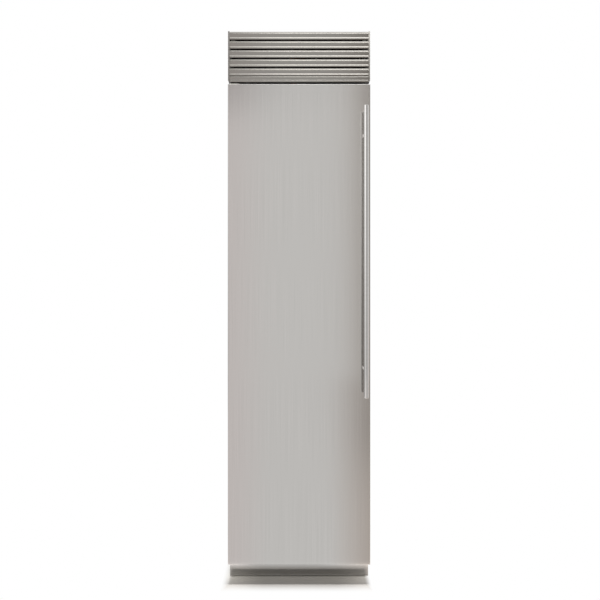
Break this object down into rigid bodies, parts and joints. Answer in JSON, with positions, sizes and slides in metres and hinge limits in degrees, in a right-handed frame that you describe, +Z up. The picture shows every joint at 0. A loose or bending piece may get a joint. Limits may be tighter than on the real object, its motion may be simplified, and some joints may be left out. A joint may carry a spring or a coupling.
{
  "type": "refrigerator",
  "caption": "Tall built-in refrigerator column with a full-height door, long bar handle and louvred grille on top.",
  "frame": {"origin": "on the floor, in the middle of the whole width and of the whole depth with the handle", "axes": "+Z up, the front with the handle faces -Y, +X is the viewer's right"},
  "size_m": [0.55, 0.679, 2.134],
  "materials": {
    "satin_steel": "satin stainless steel, fine upright grain",
    "slat_steel": "satin stainless steel of the grille, grain across",
    "polished_steel": "bright satin round bar",
    "case_paint": "light grey coated sheet",
    "galvanised_steel": "galvanised sheet",
    "plinth_steel": "glossier satin stainless sheet",
    "frame_steel": "black coated steel",
    "liner_plastic": "white thermoformed liner",
    "foam": "insulating foam",
    "seal_rubber": "grey magnetic gasket",
    "shelf_glass": "clear tempered glass",
    "trim_aluminium": "satin anodised trim",
    "bin_plastic": "clear moulded bins and drawers",
    "white_plastic": "white moulded plastic",
    "light_diffuser": "frosted light diffuser",
    "black_plastic": "black moulded plastic",
    "panel_black": "black glassy panel",
    "compressor_black": "black painted steel shell",
    "coil_aluminium": "aluminium finned coil",
    "copper": "copper tube",
    "mount_rubber": "black rubber mounts",
    "zinc_steel": "zinc plated steel",
    "bearing_plastic": "white bearing plastic"
  },
  "bodies": {
    "cabinet": {"side_panel_left": "case_paint", "side_panel_right": "case_paint", "rear_panel": "galvanised_steel", "base_pan": "galvanised_steel", "machine_deck": "galvanised_steel", "top_cover": "case_paint", "front_frame": "case_paint", "liner": "liner_plastic", "insulation": "foam", "fixing_brackets": "zinc_steel", "base_frame": "frame_steel", "plinth": "plinth_steel", "evaporation_tray": "black_plastic", "drain_tube": "white_plastic", "hinge_top": "zinc_steel", "hinge_bottom": "zinc_steel", "shelf_glass_1": "shelf_glass", "shelf_glass_2": "shelf_glass", "shelf_glass_3": "shelf_glass", "shelf_glass_4": "shelf_glass", "shelf_trims": "trim_aluminium", "shelf_rails": "white_plastic", "drawer_runners": "white_plastic", "evaporator_cover": "white_plastic", "evaporator": "coil_aluminium", "evaporator_fan_housing": "black_plastic", "light_strips": "light_diffuser", "control_panel": "panel_black", "condenser": "coil_aluminium", "condenser_fan_shroud": "black_plastic", "compressor": "compressor_black", "compressor_mounts": "mount_rubber", "filter_drier": "copper", "refrigerant_pipes": "copper", "electronics_box": "black_plastic", "switch_bezel": "black_plastic", "cable_gland": "black_plastic", "grille_pivots": "zinc_steel"},
    "door": {"door_skin": "satin_steel", "door_insulation": "foam", "hinge_bushes": "bearing_plastic", "door_liner": "liner_plastic", "door_gasket": "seal_rubber", "handle_bar": "polished_steel", "handle_posts": "polished_steel", "door_bin_1": "bin_plastic", "door_bin_2": "bin_plastic", "door_bin_3": "bin_plastic", "bin_guards": "trim_aluminium"},
    "grille": {"grille_frame": "slat_steel", "grille_slats": "slat_steel"},
    "drawer_lower": {"drawer_lower": "bin_plastic"},
    "drawer_upper": {"drawer_upper": "bin_plastic"},
    "condenser_fan": {"condenser_fan": "black_plastic"},
    "evaporator_fan": {"evaporator_fan": "white_plastic"},
    "power_rocker": {"power_rocker": "black_plastic"},
    "foot_left": {"foot_left": "zinc_steel"},
    "foot_right": {"foot_right": "zinc_steel"},
    "roller_left": {"roller_left": "black_plastic"},
    "roller_right": {"roller_right": "black_plastic"}
  },
  "joints": [
    {"name": "door_hinge", "type": "hinge", "parent": "cabinet", "child": "door", "pos_m": [-0.263, -0.2505, 1.003], "axis": [0, 0, -1], "range_deg": [0, 115]},
    {"name": "grille_hinge", "type": "hinge", "parent": "cabinet", "child": "grille", "pos_m": [0, -0.2208, 2.122], "axis": [-1, 0, 0], "range_deg": [0, 75]},
    {"name": "drawer_lower_slide", "type": "slide", "parent": "cabinet", "child": "drawer_lower", "axis": [0, -1, 0], "range_m": [0, 0.1708]},
    {"name": "drawer_upper_slide", "type": "slide", "parent": "cabinet", "child": "drawer_upper", "axis": [0, -1, 0], "range_m": [0, 0.1708]},
    {"name": "condenser_fan_spin", "type": "hinge", "parent": "cabinet", "child": "condenser_fan", "pos_m": [-0.145, -0.1182, 2.00915], "axis": [0, 1, 0], "continuous": true},
    {"name": "evaporator_fan_spin", "type": "hinge", "parent": "cabinet", "child": "evaporator_fan", "pos_m": [0, 0.2348, 1.79], "axis": [0, 1, 0], "continuous": true},
    {"name": "power_rocker_tilt", "type": "hinge", "parent": "cabinet", "child": "power_rocker", "pos_m": [0.215, -0.1863, 1.998], "axis": [1, 0, 0], "range_deg": [0, 16]},
    {"name": "foot_left_screw", "type": "slide", "parent": "cabinet", "child": "foot_left", "axis": [0, 0, -1], "range_m": [0, 0.03]},
    {"name": "foot_right_screw", "type": "slide", "parent": "cabinet", "child": "foot_right", "axis": [0, 0, -1], "range_m": [0, 0.03]},
    {"name": "roller_left_spin", "type": "hinge", "parent": "cabinet", "child": "roller_left", "pos_m": [-0.245, 0.2645, 0.025], "axis": [1, 0, 0], "continuous": true},
    {"name": "roller_right_spin", "type": "hinge", "parent": "cabinet", "child": "roller_right", "pos_m": [0.245, 0.2645, 0.025], "axis": [1, 0, 0], "continuous": true}
  ],
  "couplings": [
    {"joint": "drawer_lower_slide", "follows": "door_hinge", "m_per_rad": 0.085},
    {"joint": "drawer_upper_slide", "follows": "door_hinge", "m_per_rad": 0.085}
  ]
}
